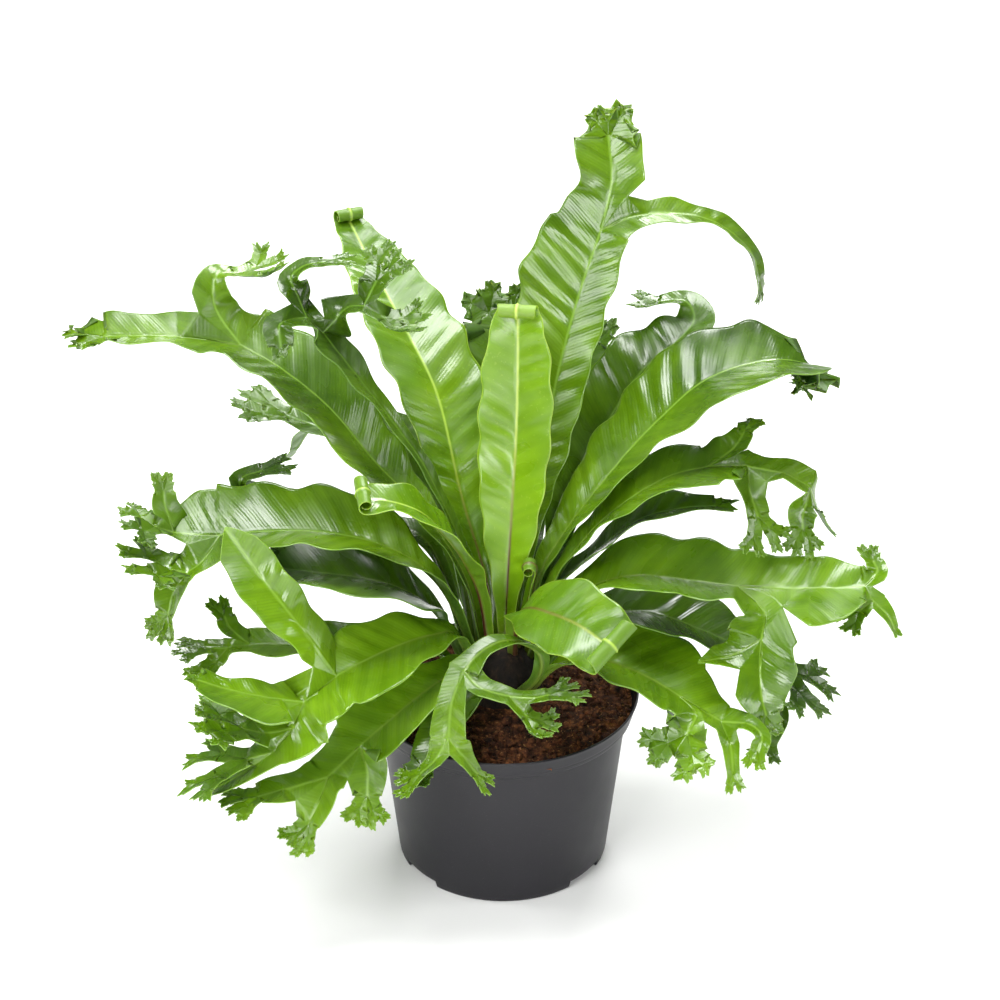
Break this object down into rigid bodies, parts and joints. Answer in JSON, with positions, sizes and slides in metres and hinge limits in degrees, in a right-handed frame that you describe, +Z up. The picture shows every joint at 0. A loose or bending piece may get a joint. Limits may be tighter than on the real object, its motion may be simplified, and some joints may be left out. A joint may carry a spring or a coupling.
{
  "type": "potted fern",
  "caption": "Fern rosette of long waved blades, some forked and crested at the tips, growing from a short crown in a round dark nursery pot with a rim band.",
  "frame": {"origin": "middle of the pot's base, on the surface it stands on", "axes": "+Z up along the pot's axis, -Y towards the side shown in the picture, +X to that side's right"},
  "size_m": [0.5664, 0.3933, 0.5088],
  "materials": {
    "pot_plastic": "satin dark grey moulded plastic",
    "soil_mix": "loose dark brown potting mix",
    "crown_scales": "rough brown scaly rhizome",
    "young_green": "glossy lime green young blade",
    "grown_green": "glossy mid green blade",
    "old_green": "satin dark green blade"
  },
  "bodies": {
    "root": {"pot": "pot_plastic", "soil": "soil_mix", "crown": "crown_scales", "frond_centre": "young_green", "frond_left_tall": "young_green", "frond_right_tall": "grown_green", "frond_left_big": "grown_green", "frond_right_big": "grown_green", "frond_right_back": "old_green", "frond_left_wide": "grown_green", "frond_left_young": "young_green", "frond_left_under": "old_green", "frond_left_low": "old_green", "frond_front_left": "grown_green", "frond_front_low": "grown_green", "frond_front_under": "old_green", "frond_front_crested": "grown_green", "frond_right_folded": "young_green", "frond_bud": "young_green", "frond_right_wide": "grown_green", "frond_right_under": "old_green", "frond_right_middle": "grown_green", "frond_right_thin": "old_green", "frond_right_lower": "grown_green", "frond_left_crested": "old_green", "frond_back_crest": "old_green", "frond_back_right": "old_green", "frond_back_left": "old_green", "frond_left_back": "old_green", "frond_back_low_left": "grown_green", "frond_back_low": "grown_green"}
  },
  "joints": []
}
